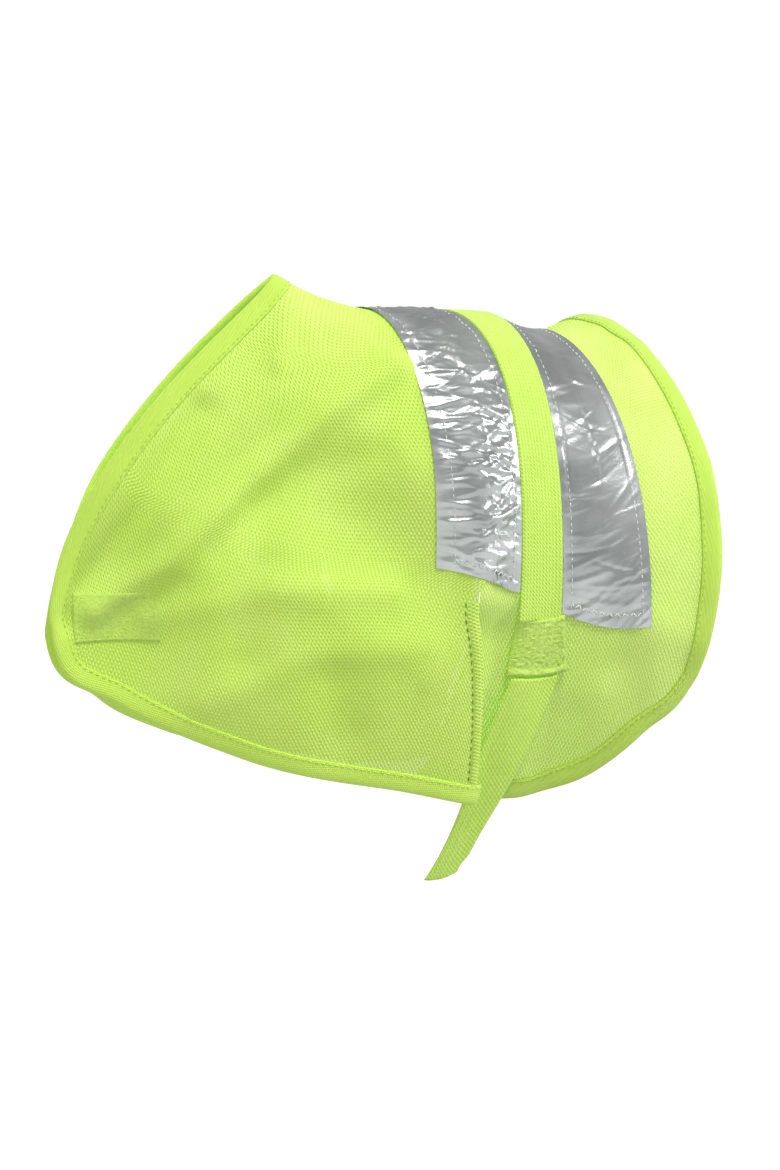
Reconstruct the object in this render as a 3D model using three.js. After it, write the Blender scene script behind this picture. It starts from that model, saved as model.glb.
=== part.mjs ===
// Fluorescent mesh safety vest for a dog, as worn: a mesh saddle with two reflective tapes and a webbing
// band across the back, two chest flaps that close with hook-and-loop, and a belly strap.
// Millimetres. +Z is up, +X points to the tail, the dog's left side is -Y.
import * as THREE from 'three';

// ---------------------------------------------------------------- sizes
const TAPE_WIDTH = 50;            // reflective tape
const WEBBING_WIDTH = 25;         // back band and belly strap
const BINDING_WIDTH = 10;         // folded edge binding
const MESH_THICK = 0.8;
const TAPE_THICK = 0.5;
const WEBBING_THICK = 1.2;
const BINDING_THICK = 0.55;
const THREAD = 0.6;
const GAP = 0.3;                  // clear space left between layers
const BAND_EDGE = WEBBING_WIDTH / 2;
const TAPE_EDGE = BAND_EDGE + TAPE_WIDTH;
const NECK_LENGTH = 120;          // spine from the middle of the band to the neck hem
const REAR_LENGTH = 107.5;        // spine from the middle of the band to the rear hem
const FLANK_DEPTH = 245;          // drop from the spine to the hem beside the band
const HALF_WIDTH = 100;           // how far the flanks stand out
const FOLD_NECK = 0.45;           // where the flap's fold line meets the neck hem, part of the way down
const FOLD_SLIT = 0.615;          // where it meets the top of the slit
const SLIT_TOP = -47;             // station of the slit at its top and at the hem
const SLIT_HEM = -26;
const TAPE_END = { front: 0.575, back: 0.605 };
const REAR_TAPE_END = { front: 0.65, back: 0.765 };
const BAND_END = 0.66;
const PAD_END = 0.765;
const STRAP_TOP = 0.775;
const STRAP_TIP = 1.17;
const CHEST_PATCH = { length: 40, height: 25, thick: 1.3 };

// ---------------------------------------------------------------- the shape of the worn cloth
// Sections across the back, from the neck hem to the rear hem. Each is a cubic curve on the dog's left
// side: spine point, a handle that gives the shoulder, a handle that gives the flank, and the hem point.
// "roll" raises the right side of the spine and lowers the left, where the rear hem lies a little askew.
const WIDTH_SCALE = HALF_WIDTH / 100;
const DROP_SCALE = FLANK_DEPTH / 245;
const NECK_SCALE = NECK_LENGTH / 120;
const REAR_SCALE = REAR_LENGTH / 107.5;
const SECTIONS = [
  { at: -120, spine: [-117, 0, 29], shoulder: [-125, -9, 16],
    flank: [-240, -12, -42], hem: [-248, -3, -136] },
  { at: -117, spine: [-115, 0, 28], shoulder: [-124, -14, 17],
    flank: [-232, -22, -70], hem: [-244, -4, -156] },
  { at: -108, spine: [-107, 0, 24], shoulder: [-119, -26, 22],
    flank: [-198, -38, -112], hem: [-214, -17, -181] },
  { at: -92, spine: [-92, 0, 17], shoulder: [-98, -46, 16],
    flank: [-160, -68, -140], hem: [-160, -40, -209] },
  { at: -62.5, spine: [-62.5, 0, 8], shoulder: [-62.5, -68, 8],
    flank: [-62.5, -102, -100], hem: [-72, -60, -233] },
  { at: -12.5, spine: [-12.5, 0, 3], shoulder: [-12.5, -66, 3],
    flank: [-12.5, -99, -80], hem: [-20, -58, -244] },
  { at: 12.5, spine: [12.5, 0, 0], shoulder: [12.5, -60, -2],
    flank: [12.5, -95, -80], hem: [11, -58, -242] },
  { at: 37.5, spine: [36, 6, -9], shoulder: [36, -54, -11],
    flank: [33, -108, -92], hem: [34, -72, -230], roll: 3 },
  { at: 62.5, spine: [58, 12, -13], shoulder: [58, -56, -14],
    flank: [52, -118, -100], hem: [53, -86, -212], roll: 6 },
  { at: 90, spine: [85, 17, -12], shoulder: [85, -58, -13],
    flank: [75, -124, -100], hem: [73, -90, -196], roll: 10 },
  { at: 107.5, spine: [101, 20, -11], shoulder: [101, -56, -12],
    flank: [97, -129, -98], hem: [82, -93, -182], roll: 14 },
];

// The tapes and the band keep their widths; only the cloth ahead of them and behind them changes length.
function scaleAlong(x) {
  if (x < -TAPE_EDGE) {
    return -TAPE_EDGE + (x + TAPE_EDGE) * NECK_SCALE;
  }
  return x > TAPE_EDGE ? TAPE_EDGE + (x - TAPE_EDGE) * REAR_SCALE : x;
}

const scalePoint = ([x, y, z]) => [scaleAlong(x), y * WIDTH_SCALE, z < 0 ? z * DROP_SCALE : z];

const stations = SECTIONS.map(({ at: place, spine, shoulder, flank, hem, roll = 0 }) => ({
  at: scaleAlong(place),
  values: [...[spine, shoulder, flank, hem].flatMap(scalePoint), roll],
}));
const NECK_HEM = stations[0].at;
const REAR_HEM = stations[stations.length - 1].at;

const smooth = (x) => {
  const t = Math.min(1, Math.max(0, x));
  return t * t * (3 - 2 * t);
};

// Values of a section at any place along the back: a smooth curve through the stations.
function sectionValues(s) {
  const last = stations.length - 2;
  let i = stations.findIndex((station, n) => n <= last && s < stations[n + 1].at);
  if (i < 0) {
    i = last;
  }
  const span = stations[i + 1].at - stations[i].at;
  const t = (s - stations[i].at) / span;
  const slope = (n, c) => {
    const before = stations[Math.max(0, n - 1)];
    const here = stations[n];
    const after = stations[Math.min(stations.length - 1, n + 1)];
    const left = n > 0 ? (here.values[c] - before.values[c]) / (here.at - before.at) : null;
    const right = n <= last ? (after.values[c] - here.values[c]) / (after.at - here.at) : null;
    if (left === null || right === null) {
      return left ?? right;
    }
    return (left * (after.at - here.at) + right * (here.at - before.at)) / (after.at - before.at);
  };
  return stations[i].values.map((value, c) => {
    const next = stations[i + 1].values[c];
    return (2 * t ** 3 - 3 * t ** 2 + 1) * value + (t ** 3 - 2 * t ** 2 + t) * slope(i, c) * span
      + (3 * t ** 2 - 2 * t ** 3) * next + (t ** 3 - t ** 2) * slope(i + 1, c) * span;
  });
}

const SAMPLES = 48;
const sectionCache = new Map();
function sectionCurve(s, side) {
  const key = `${s.toFixed(4)} ${side}`;
  if (sectionCache.has(key)) {
    return sectionCache.get(key);
  }
  const v = sectionValues(s);
  const points = [0, 3, 6, 9].map((n) => new THREE.Vector3(v[n], v[n + 1], v[n + 2]));
  if (side > 0) {
    const spineY = points[0].y;
    points.forEach((point) => { point.y = 2 * spineY - point.y; });
  }
  points[1].z += side * v[12];
  const curve = new THREE.CubicBezierCurve3(...points);
  const samples = Array.from({ length: SAMPLES + 1 }, (_, n) => curve.getPoint(n / SAMPLES));
  const lengths = [0];
  for (let n = 1; n <= SAMPLES; n += 1) {
    lengths.push(lengths[n - 1] + samples[n].distanceTo(samples[n - 1]));
  }
  const end = points[3].clone().sub(points[2]).normalize();
  const entry = { curve, samples, lengths, length: lengths[SAMPLES], end };
  sectionCache.set(key, entry);
  return entry;
}

// The chest ends of the two flaps are pressed together by their hook-and-loop patches.
const CHEST_TIP = scalePoint([-250, -4, -136]);
const PINCH = { from: 22, over: 62, apart: 3.2 };

function sectionPoint(s, g) {
  const side = g > 0 ? 1 : -1;
  const entry = sectionCurve(s, side);
  const target = Math.abs(g) * entry.length;
  const point = new THREE.Vector3();
  if (target >= entry.length) {
    point.copy(entry.samples[SAMPLES]).addScaledVector(entry.end, target - entry.length);
  } else {
    let n = 1;
    while (entry.lengths[n] < target) {
      n += 1;
    }
    const t = (n - 1 + (target - entry.lengths[n - 1]) / (entry.lengths[n] - entry.lengths[n - 1])) / SAMPLES;
    point.copy(entry.curve.getPoint(t));
  }
  const away = Math.hypot(point.x - CHEST_TIP[0], point.z - CHEST_TIP[2]);
  const free = smooth((away - PINCH.from) / PINCH.over);
  if (free < 1) {
    point.y = point.y * free + side * PINCH.apart * (1 - free);
  }
  return point;
}

// Each flap folds along a straight line from the neck hem to the top of the slit.
const foldStart = sectionPoint(NECK_HEM, -FOLD_NECK);
const foldEnd = sectionPoint(SLIT_TOP, -FOLD_SLIT);
const foldAxis = foldEnd.clone().sub(foldStart).normalize();

function fromFold(point) {
  const reach = point.clone().sub(foldStart);
  return reach.addScaledVector(foldAxis, -reach.dot(foldAxis));
}

const foldCache = new Map();
function foldPlace(s) {
  const key = s.toFixed(4);
  if (!foldCache.has(key)) {
    let low = 0.36;
    let high = 0.72;
    for (let n = 0; n < 40; n += 1) {
      const a = low + (high - low) / 3;
      const b = high - (high - low) / 3;
      if (fromFold(sectionPoint(s, -a)).length() < fromFold(sectionPoint(s, -b)).length()) {
        high = b;
      } else {
        low = a;
      }
    }
    const f = (low + high) / 2;
    foldCache.set(key, { f, off: fromFold(sectionPoint(s, -f)) });
  }
  return foldCache.get(key);
}

// A point of the cloth: s along the back, g down the side (-1 left hem, 0 spine, +1 right hem).
const FLATTEN = 0.2;
function clothPoint(s, g) {
  const point = sectionPoint(s, g);
  if (s < SLIT_TOP) {
    const { f, off } = foldPlace(Math.max(s, NECK_HEM));
    const share = 1 - smooth(Math.abs(Math.abs(g) - f) / FLATTEN);
    point.x -= off.x * share;
    point.y -= off.y * share * (g > 0 ? -1 : 1);
    point.z -= off.z * share;
  }
  return point;
}

const STEP = 0.6;
function clothNormal(s, g) {
  const ds = clothPoint(s + STEP, g).sub(clothPoint(s - STEP, g));
  const dg = clothPoint(s, g + 0.004).sub(clothPoint(s, g - 0.004));
  return ds.cross(dg).normalize();
}

// The rear lobe tucks in under the flap so that flap, strap and lobe lie one over another at the slit.
const LOBE_TUCK = 7;
const lobeTuck = (s, f) => -LOBE_TUCK * smooth((5 - s) / 30) * smooth((f - FOLD_SLIT) / 0.08);

function at(s, g, lift) {
  return clothPoint(s, g).addScaledVector(clothNormal(s, g), lift);
}

// ---------------------------------------------------------------- solids
const group = new THREE.Group();
group.name = 'dog_safety_vest';

function addSolid(name, positions, faces, look) {
  const flat = [];
  faces.forEach((face) => face.forEach((corner) => flat.push(...positions[corner].toArray())));
  const geometry = new THREE.BufferGeometry();
  geometry.setAttribute('position', new THREE.Float32BufferAttribute(flat, 3));
  let volume = 0;
  const [a, b, c] = [new THREE.Vector3(), new THREE.Vector3(), new THREE.Vector3()];
  for (let n = 0; n < flat.length; n += 9) {
    a.fromArray(flat, n);
    b.fromArray(flat, n + 3);
    c.fromArray(flat, n + 6);
    volume += a.dot(b.cross(c)) / 6;
  }
  if (volume < 0) {
    const array = geometry.attributes.position.array;
    for (let n = 0; n < array.length; n += 9) {
      for (let axis = 0; axis < 3; axis += 1) {
        [array[n + 3 + axis], array[n + 6 + axis]] = [array[n + 6 + axis], array[n + 3 + axis]];
      }
    }
  }
  geometry.computeVertexNormals();
  const mesh = new THREE.Mesh(geometry, new THREE.MeshStandardMaterial(look));
  mesh.name = name;
  group.add(mesh);
  return mesh;
}

// A sheet with thickness over a set of cells. Each cell is four [s, g] corners; cells share corners.
function sheet(name, cells, low, high, look, tuck = () => 0) {
  const corners = new Map();
  const positions = [];
  const corner = ([s, g]) => {
    const key = `${s.toFixed(3)} ${g.toFixed(5)}`;
    if (!corners.has(key)) {
      corners.set(key, positions.length / 2);
      const lift = tuck(s, Math.abs(g));
      positions.push(at(s, g, low + lift), at(s, g, high + lift));
    }
    return corners.get(key);
  };
  const faces = [];
  const edges = new Map();
  cells.forEach((cell) => {
    const ids = cell.map(corner);
    const [a, b, c, e] = ids.map((id) => 2 * id);
    faces.push([a, b, c], [a, c, e], [a + 1, c + 1, b + 1], [a + 1, e + 1, c + 1]);
    ids.forEach((id, n) => {
      const next = ids[(n + 1) % 4];
      if (edges.has(`${next} ${id}`)) {
        edges.delete(`${next} ${id}`);
      } else {
        edges.set(`${id} ${next}`, [id, next]);
      }
    });
  });
  edges.forEach(([from, to]) => {
    faces.push([2 * from, 2 * from + 1, 2 * to + 1], [2 * from, 2 * to + 1, 2 * to]);
  });
  return addSolid(name, positions, faces, look);
}

// Cells of a patch given by a map from columns and rows to [s, g].
function patchCells(columns, rows, place) {
  const cells = [];
  for (let i = 0; i + 1 < columns.length; i += 1) {
    for (let j = 0; j + 1 < rows.length; j += 1) {
      cells.push([
        place(columns[i], rows[j]), place(columns[i + 1], rows[j]),
        place(columns[i + 1], rows[j + 1]), place(columns[i], rows[j + 1]),
      ]);
    }
  }
  return cells;
}

// A closed slab over a grid of columns, each knot holding a low and a high point.
function slab(name, grid, look) {
  const rows = grid[0].length;
  const positions = grid.flatMap((column) => column.flatMap(({ low, high }) => [low, high]));
  const id = (i, j) => 2 * (i * rows + j);
  const faces = [];
  for (let i = 0; i + 1 < grid.length; i += 1) {
    for (let j = 0; j + 1 < rows; j += 1) {
      const [a, b, c, e] = [id(i, j), id(i + 1, j), id(i + 1, j + 1), id(i, j + 1)];
      faces.push([a, c, b], [a, e, c], [a + 1, b + 1, c + 1], [a + 1, c + 1, e + 1]);
    }
  }
  const rim = [
    ...range(0, grid.length - 2, grid.length - 2).map((i) => id(i, 0)),
    ...range(0, rows - 2, rows - 2).map((j) => id(grid.length - 1, j)),
    ...range(grid.length - 1, 1, grid.length - 2).map((i) => id(i, rows - 1)),
    ...range(rows - 1, 1, rows - 2).map((j) => id(0, j)),
  ];
  rim.forEach((from, n) => {
    const to = rim[(n + 1) % rim.length];
    faces.push([from, to, to + 1], [from, to + 1, from + 1]);
  });
  return addSolid(name, positions, faces, look);
}

// A closed body through rings of corners; the outline gives the order of a ring's corners in the flat.
function tube(name, rings, outline, closed, look) {
  const positions = rings.flat();
  const faces = [];
  const m = outline.length;
  const last = closed ? rings.length : rings.length - 1;
  for (let i = 0; i < last; i += 1) {
    const here = i * m;
    const there = ((i + 1) % rings.length) * m;
    for (let j = 0; j < m; j += 1) {
      const next = (j + 1) % m;
      faces.push([here + j, there + j, there + next], [here + j, there + next, here + next]);
    }
  }
  if (!closed) {
    const flat = outline.map(([x, y]) => new THREE.Vector2(x, y));
    const turn = Math.sign(THREE.ShapeUtils.area(flat));
    const end = (rings.length - 1) * m;
    THREE.ShapeUtils.triangulateShape(flat, []).forEach((cap) => {
      const same = Math.sign(THREE.ShapeUtils.area(cap.map((n) => flat[n]))) === turn;
      const start = same ? [...cap] : [...cap].reverse();
      faces.push(start, [...start].reverse().map((n) => end + n));
    });
  }
  return addSolid(name, positions, faces, look);
}

// The same cells, each split along its other diagonal, so that the two sides mirror one another.
const turned = (cells) => cells.map(([a, b, c, e]) => [b, c, e, a]);

function range(from, to, count) {
  return Array.from({ length: count + 1 }, (_, n) => from + ((to - from) * n) / count);
}

// ---------------------------------------------------------------- looks
const YELLOW = { color: 0xc8f03a, roughness: 0.8, metalness: 0 };
const EDGE_YELLOW = { color: 0xc4f52e, roughness: 0.7, metalness: 0 };
const BAND_YELLOW = { color: 0xbdee35, roughness: 0.75, metalness: 0 };
const SILVER = { color: 0xbfc4c4, roughness: 0.25, metalness: 0.7 };
const THREAD_GREY = { color: 0xdedede, roughness: 0.8, metalness: 0 };
const THREAD_YELLOW = { color: 0xb4e02c, roughness: 0.8, metalness: 0 };

// ---------------------------------------------------------------- mesh panels
const HALF = MESH_THICK / 2;
const edgeShare = (s) => BINDING_WIDTH / sectionCurve(s, -1).length;
const foldGap = 0.5 / 270;        // half the cut along a fold line, as a share of the section
// How far the rear lobe's front edge has run forward of the slit's top when it reaches the hem.
const LOBE_FRONT = -13;
const HEAD_COLUMNS = [NECK_HEM, NECK_HEM + 5, NECK_HEM + 10, -98, -86, -74, -TAPE_EDGE, -55, SLIT_TOP];
const TAIL_COLUMNS = [
  SLIT_TOP, -37.5, -25, -BAND_EDGE, 0, BAND_EDGE, 18, 25, 31, 37.5, 50, TAPE_EDGE,
  70, 78, 88, REAR_HEM - 10, REAR_HEM,
];
const SADDLE_ROWS = [...range(-1, -1 / 9, 8), -1 / 18, -1 / 36, 0, 1 / 36, 1 / 18, ...range(1 / 9, 1, 8)];
const lobeRows = range(0, 1, 7);
const LAST_ROW = 6 / 7;            // the last row of a lobe is the strip under its hem binding

const slitShare = foldPlace(SLIT_TOP).f - foldGap;
const saddlePlace = (s, v) => [s, v * (s < SLIT_TOP ? foldPlace(s).f - foldGap : slitShare)];
const saddleCells = patchCells([...HEAD_COLUMNS, ...TAIL_COLUMNS.slice(1)], SADDLE_ROWS, saddlePlace);
// The slit's two edges run together for its first stretch, then cross over one another down to the hem.
const OVERLAP_FROM = FOLD_SLIT + 0.04;
const overlapShare = (f) => Math.max(0, (f - OVERLAP_FROM) / (1 - OVERLAP_FROM));
const lobePlace = (side) => (s, v) => {
  const f = v > LAST_ROW + 0.01 ? 1 : slitShare + ((1 - edgeShare(s) - slitShare) * v) / LAST_ROW;
  const forward = s < -BAND_EDGE ? (s + BAND_EDGE) / (SLIT_TOP + BAND_EDGE) : 0;
  return [s + LOBE_FRONT * overlapShare(f) * forward, side * f];
};
saddleCells.push(...patchCells(TAIL_COLUMNS, lobeRows, lobePlace(1)));
saddleCells.push(...turned(patchCells(TAIL_COLUMNS, [...lobeRows].reverse(), lobePlace(-1))));
sheet('back_panel', saddleCells, -HALF, HALF, YELLOW, lobeTuck);

const sides = [['left', -1], ['right', 1]];
const slitPlace = (f) => SLIT_TOP - 2 * GAP + (SLIT_HEM - SLIT_TOP) * overlapShare(f);
const FLAP_COLUMNS = [
  0, 0.012, 0.025, 0.04, 0.06, 0.08, 0.105, 0.13, 0.16, 0.2, 0.26, 0.34, 0.43, 0.53, 0.64, 0.76, 0.88, 1,
];
const FLAP_ROWS = [0, 0.11, 0.22, 0.33, 0.44, 0.55, 0.66, 0.75, 0.83, 0.89, 0.945, 1];
// A place on a flap: u from the neck hem to the slit, v from the fold line to the hem.
function flapPlace(u, v, side) {
  let s = NECK_HEM + u * (SLIT_TOP - NECK_HEM);
  let f = 0;
  for (let n = 0; n < 12; n += 1) {
    const top = foldPlace(s).f + foldGap;
    f = top + (1 - top) * v;
    s = NECK_HEM + u * (slitPlace(f) - NECK_HEM);
  }
  return [s, side * f];
}
sides.forEach(([word, side]) => {
  const place = (u, v) => flapPlace(u, v, side);
  const cells = side < 0 ? patchCells(FLAP_COLUMNS, [...FLAP_ROWS].reverse(), place)
    : turned(patchCells(FLAP_COLUMNS, FLAP_ROWS, place));
  sheet(`${word}_chest_flap`, cells, -HALF, HALF, YELLOW);
});

// ---------------------------------------------------------------- swept paths
// Directions square to a closed path at each of its steps, in [s, g] per millimetre.
function intoCloth(places) {
  return places.map(([s, g], n) => {
    const before = places[(n + places.length - 1) % places.length];
    const after = places[(n + 1) % places.length];
    const along = clothPoint(...after).sub(clothPoint(...before)).normalize();
    const inward = clothNormal(s, g).cross(along).normalize();
    const ps = clothPoint(s + STEP, g).sub(clothPoint(s - STEP, g)).divideScalar(2 * STEP);
    const pg = clothPoint(s, g + 0.004).sub(clothPoint(s, g - 0.004)).divideScalar(0.008);
    const [ss, sg, gg] = [ps.dot(ps), ps.dot(pg), pg.dot(pg)];
    const [ws, wg] = [inward.dot(ps), inward.dot(pg)];
    const det = ss * gg - sg * sg;
    return { place: [s, g], into: [(ws * gg - wg * sg) / det, (wg * ss - ws * sg) / det] };
  });
}

// A fine net of points and normals over a panel, used to lay a binding on it.
function netOf(columns, rows, place, tuck = () => 0) {
  const grid = columns.map((u) => rows.map((v) => {
    const [s, g] = place(u, v);
    return { point: at(s, g, tuck(s, Math.abs(g))), outward: clothNormal(s, g) };
  }));
  const pointAt = (i, j) => grid[Math.min(Math.max(i, 0), columns.length - 1)][
    Math.min(Math.max(j, 0), rows.length - 1)].point;
  const normalAt = (i, j) => {
    const across = pointAt(i + 1, j).clone().sub(pointAt(i - 1, j));
    const down = pointAt(i, j + 1).clone().sub(pointAt(i, j - 1));
    const normal = across.cross(down).normalize();
    return normal.dot(grid[i][j].outward) < 0 ? normal.negate() : normal;
  };
  return grid.flatMap((column, i) => column.map(({ point }, j) => ({ point, normal: normalAt(i, j) })));
}

function nearest(net, point) {
  let best = net[0];
  let least = Infinity;
  net.forEach((knot) => {
    const away = knot.point.distanceToSquared(point);
    if (away < least) {
      least = away;
      best = knot;
    }
  });
  return best;
}

// A binding folded round an edge: the edge is a row of points, the net tells where the cloth lies.
const SLOT = HALF + 0.95;
function binding(name, edge, net, width, look, slot = SLOT) {
  const fold = HALF - slot + 0.6;
  const outline = [
    [fold - 1, -slot - BINDING_THICK], [width, -slot - BINDING_THICK], [width, -slot], [fold, -slot],
    [fold, slot], [width, slot], [width, slot + BINDING_THICK], [fold - 1, slot + BINDING_THICK],
  ];
  const steps = edge.map((point, n) => {
    const before = edge[Math.max(0, n - 1)];
    const after = edge[Math.min(edge.length - 1, n + 1)];
    const along = after.clone().sub(before).normalize();
    const inward = nearest(net, point).normal.clone().cross(along).normalize();
    const cover = (reach) => {
      const target = point.clone().addScaledVector(inward, reach);
      return nearest(net, target).point.distanceTo(point);
    };
    return { point, inward, lean: cover(8) - cover(-8) };
  });
  // Every step turns to the same side of the edge: the side on which most of them find cloth.
  const sign = Math.sign(steps.reduce((sum, { lean }) => sum + lean, 0));
  const rings = steps.map(({ point, inward }) => outline.map(([distance, lift]) => {
    const target = point.clone().addScaledVector(inward, distance * sign);
    const knot = nearest(net, target);
    const height = target.clone().sub(knot.point).dot(knot.normal);
    return target.addScaledVector(knot.normal, lift - height);
  }));
  return tube(name, rings, outline, false, look);
}

// Rear binding: along one hem, over the rear hem and back along the other hem.
const finer = (places) => places.flatMap((place, n) => (n + 1 < places.length
  ? [place, (place + places[n + 1]) / 2] : [place]));
const tailNet = netOf(finer(TAIL_COLUMNS), finer(SADDLE_ROWS), saddlePlace, lobeTuck);
[-1, 1].forEach((side) => {
  tailNet.push(...netOf(finer(TAIL_COLUMNS), finer(finer(lobeRows)), lobePlace(side), lobeTuck));
});
const onTail = ([s, g]) => at(s, g, lobeTuck(s, Math.abs(g)));
const hemColumns = TAIL_COLUMNS.slice(0, -1);
const lobeSteps = (side) => lobeRows.slice(1, -1).map((v) => lobePlace(side)(REAR_HEM, v));
const hemPlaces = [
  ...hemColumns.map((s) => lobePlace(-1)(s, 1)),
  [REAR_HEM, -1],
  ...lobeSteps(-1).reverse(),
  ...SADDLE_ROWS.map((v) => saddlePlace(REAR_HEM, v)),
  ...lobeSteps(1),
  [REAR_HEM, 1],
  ...[...hemColumns].reverse().map((s) => lobePlace(1)(s, 1)),
];
binding('rear_binding', hemPlaces.map(onTail), tailNet, BINDING_WIDTH, EDGE_YELLOW);

// Neck binding over the ridge, and one binding round the free edges of each flap.
const headNet = netOf(finer(finer(HEAD_COLUMNS)), finer(SADDLE_ROWS), saddlePlace);
const neckRows = SADDLE_ROWS.filter((v) => v === 0 || Math.abs(v) > 1 / 30);
// The binding stops just short of the fold line, clear of the flap as it swings back.
const neckEdge = neckRows.map((v) => clothPoint(...saddlePlace(NECK_HEM, v * 0.96)));
binding('neck_binding', neckEdge, headNet, BINDING_WIDTH, EDGE_YELLOW, SLOT + 0.5);
sides.forEach(([word, side]) => {
  const place = (u, v) => flapPlace(u, v, side);
  const net = netOf(finer(FLAP_COLUMNS), finer(finer(FLAP_ROWS)), place);
  const neck = FLAP_ROWS.map((v) => place(0, Math.max(v, 0.02)));
  const hem = FLAP_COLUMNS.slice(1).map((u) => place(u, 1));
  const edge = [...neck, ...hem].map((knot) => clothPoint(...knot));
  binding(`${word}_flap_binding`, edge, net, BINDING_WIDTH, EDGE_YELLOW);
});

// ---------------------------------------------------------------- tapes and band
const LAYER = HALF + 0.5;
const endShare = (s, from, to, ends) => ends.front + ((ends.back - ends.front) * (s - from)) / (to - from);
function strip(name, columns, ends, low, thick, look) {
  const [from, to] = [columns[0], columns[columns.length - 1]];
  // Rows follow the panel's own rows as far as they go, then run on to the strip's end.
  const least = Math.min(ends.front, ends.back) - 0.02;
  const inner = SADDLE_ROWS.filter((v) => Math.abs(saddlePlace(from, v)[1]) < least);
  const place = (s, v) => {
    const top = saddlePlace(s, inner[inner.length - 1])[1];
    const beyond = (Math.abs(v) - 1) * (endShare(s, from, to, ends) - top);
    return Math.abs(v) > 1 ? [s, Math.sign(v) * (top + beyond)] : saddlePlace(s, v * inner[inner.length - 1]);
  };
  const reach = inner[inner.length - 1];
  const rows = [-2, -1.5, ...inner.map((v) => v / reach), 1.5, 2];
  sheet(name, patchCells(columns, rows, place), low, low + thick, look);
}
const FRONT_TAPE = [-TAPE_EDGE, -55, SLIT_TOP, -37.5, -25, -BAND_EDGE - GAP / 2];
const REAR_TAPE = [BAND_EDGE + GAP / 2, 18, 25, 31, 37.5, 50, TAPE_EDGE];
strip('front_reflective_tape', FRONT_TAPE, TAPE_END, LAYER, TAPE_THICK, SILVER);
strip('rear_reflective_tape', REAR_TAPE, REAR_TAPE_END, LAYER, TAPE_THICK, SILVER);
const BAND = [-BAND_EDGE + GAP / 2, 0, BAND_EDGE - GAP / 2];
strip('back_band', BAND, { front: BAND_END, back: BAND_END }, LAYER, WEBBING_THICK, BAND_YELLOW);

// A row of stitching round a strip, standing just above it.
const SEAM_IN = 5;
function seamLoop(name, columns, ends, lift, look) {
  const [from, to] = [columns[0] + SEAM_IN, columns[columns.length - 1] - SEAM_IN];
  const end = (s) => endShare(s, columns[0], columns[columns.length - 1], ends) - SEAM_IN / 275;
  const down = range(-1, 1, 24);
  const places = [
    ...down.map((v) => [from, v * end(from)]),
    ...range(from, to, 4).slice(1, -1).map((s) => [s, end(s)]),
    ...[...down].reverse().map((v) => [to, v * end(to)]),
    ...range(to, from, 4).slice(1, -1).map((s) => [s, -end(s)]),
  ];
  const half = THREAD / 2;
  const outline = [[-half, lift], [half, lift], [half, lift + THREAD], [-half, lift + THREAD]];
  const rings = intoCloth(places).map(({ place: [s, g], into: [ds, dg] }) => outline.map(
    ([aside, height]) => at(s + ds * aside, g + dg * aside, height),
  ));
  tube(name, rings, outline, true, look);
}
const TAPE_TOP = LAYER + TAPE_THICK + 0.65;
seamLoop('front_tape_seam', FRONT_TAPE, TAPE_END, TAPE_TOP, THREAD_GREY);
seamLoop('rear_tape_seam', REAR_TAPE, REAR_TAPE_END, TAPE_TOP, THREAD_GREY);

// ---------------------------------------------------------------- pads, strap and chest patches
const PAD = { from: -13, to: 16, thick: 2.2 };
const PAD_TOP = REAR_TAPE_END.front + 0.018;
const strapLift = (s) => -3.7 + 6.4 * smooth((s + 28) / 28);
sides.forEach(([word, side]) => {
  const order = (rows) => (side > 0 ? rows : [...rows].reverse());
  const padRows = order(range(PAD_TOP, PAD_END, 3));
  const pad = patchCells([PAD.from, 0, BAND_EDGE, PAD.to], padRows, (s, f) => [s, side * f]);
  sheet(`${word}_band_pad`, pad, LAYER + 0.2, LAYER + PAD.thick, BAND_YELLOW, lobeTuck);
});

// The strap starts under the left pad, leans forward as it goes down, and curls in under the belly. In use
// it goes round under the dog and closes on the right pad.
const strapPlace = (x, f) => {
  const down = (f - STRAP_TOP) / (1 - STRAP_TOP);
  const slant = x / WEBBING_WIDTH + 0.5;
  const tip = f > STRAP_TIP - 0.01 ? 0.03 * slant : 0;
  return [-1 - 21 * down + x, tip - f];
};
const strapCells = patchCells(range(-BAND_EDGE, BAND_EDGE, 3), range(STRAP_TIP, STRAP_TOP, 9), strapPlace);
sheet('left_belly_strap', strapCells, 0, WEBBING_THICK, BAND_YELLOW, strapLift);

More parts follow.
